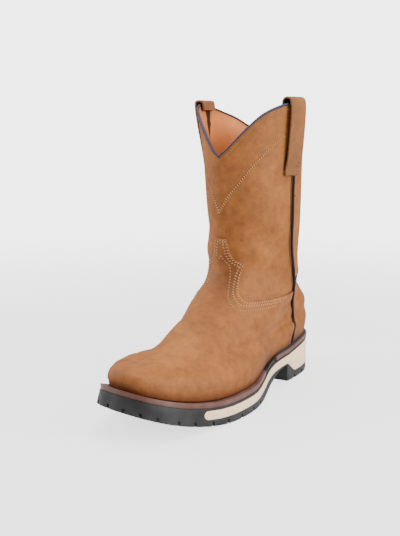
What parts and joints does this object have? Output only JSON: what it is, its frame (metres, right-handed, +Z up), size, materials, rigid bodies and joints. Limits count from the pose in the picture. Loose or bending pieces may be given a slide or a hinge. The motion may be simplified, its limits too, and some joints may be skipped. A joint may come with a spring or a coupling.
{
  "type": "work boot",
  "caption": "Pull-on leather work boot for the left foot, with a stitched tongue on the vamp, side pull straps, a V-dipped collar and a lugged rubber sole.",
  "frame": {"origin": "middle of the underside of the boot's box, on the floor", "axes": "+Z up, -Y from the heel towards the toe, +X towards the outer side of the left foot"},
  "size_m": [0.1134, 0.308, 0.283],
  "materials": {
    "tan_leather": "oiled nubuck, matt",
    "black_rubber": "moulded rubber, satin",
    "cream_rubber": "moulded rubber, satin",
    "brown_welt": "waxed welt strip",
    "insole_leather": "smooth undyed leather",
    "navy_binding": "woven binding",
    "red_rubber": "moulded rubber, satin",
    "orange_rubber": "moulded rubber, satin"
  },
  "bodies": {
    "root": {"outsole": "black_rubber", "side_band": "cream_rubber", "shank_plug": "orange_rubber", "welt": "brown_welt", "heel_rand": "brown_welt", "waist_rand_outer": "black_rubber", "waist_rand_inner": "black_rubber", "insole": "insole_leather", "upper": "tan_leather", "vamp": "tan_leather", "heel_counter": "tan_leather", "side_piping_outer": "navy_binding", "side_piping_inner": "navy_binding", "collar_binding": "navy_binding", "pull_strap_outer": "tan_leather", "pull_strap_inner": "tan_leather", "tread_inlay_1": "red_rubber", "tread_inlay_2": "red_rubber", "tread_inlay_3": "red_rubber", "tread_inlay_4": "red_rubber", "tread_inlay_5": "red_rubber", "tread_inlay_6": "red_rubber", "tread_inlay_7": "red_rubber"}
  },
  "joints": []
}
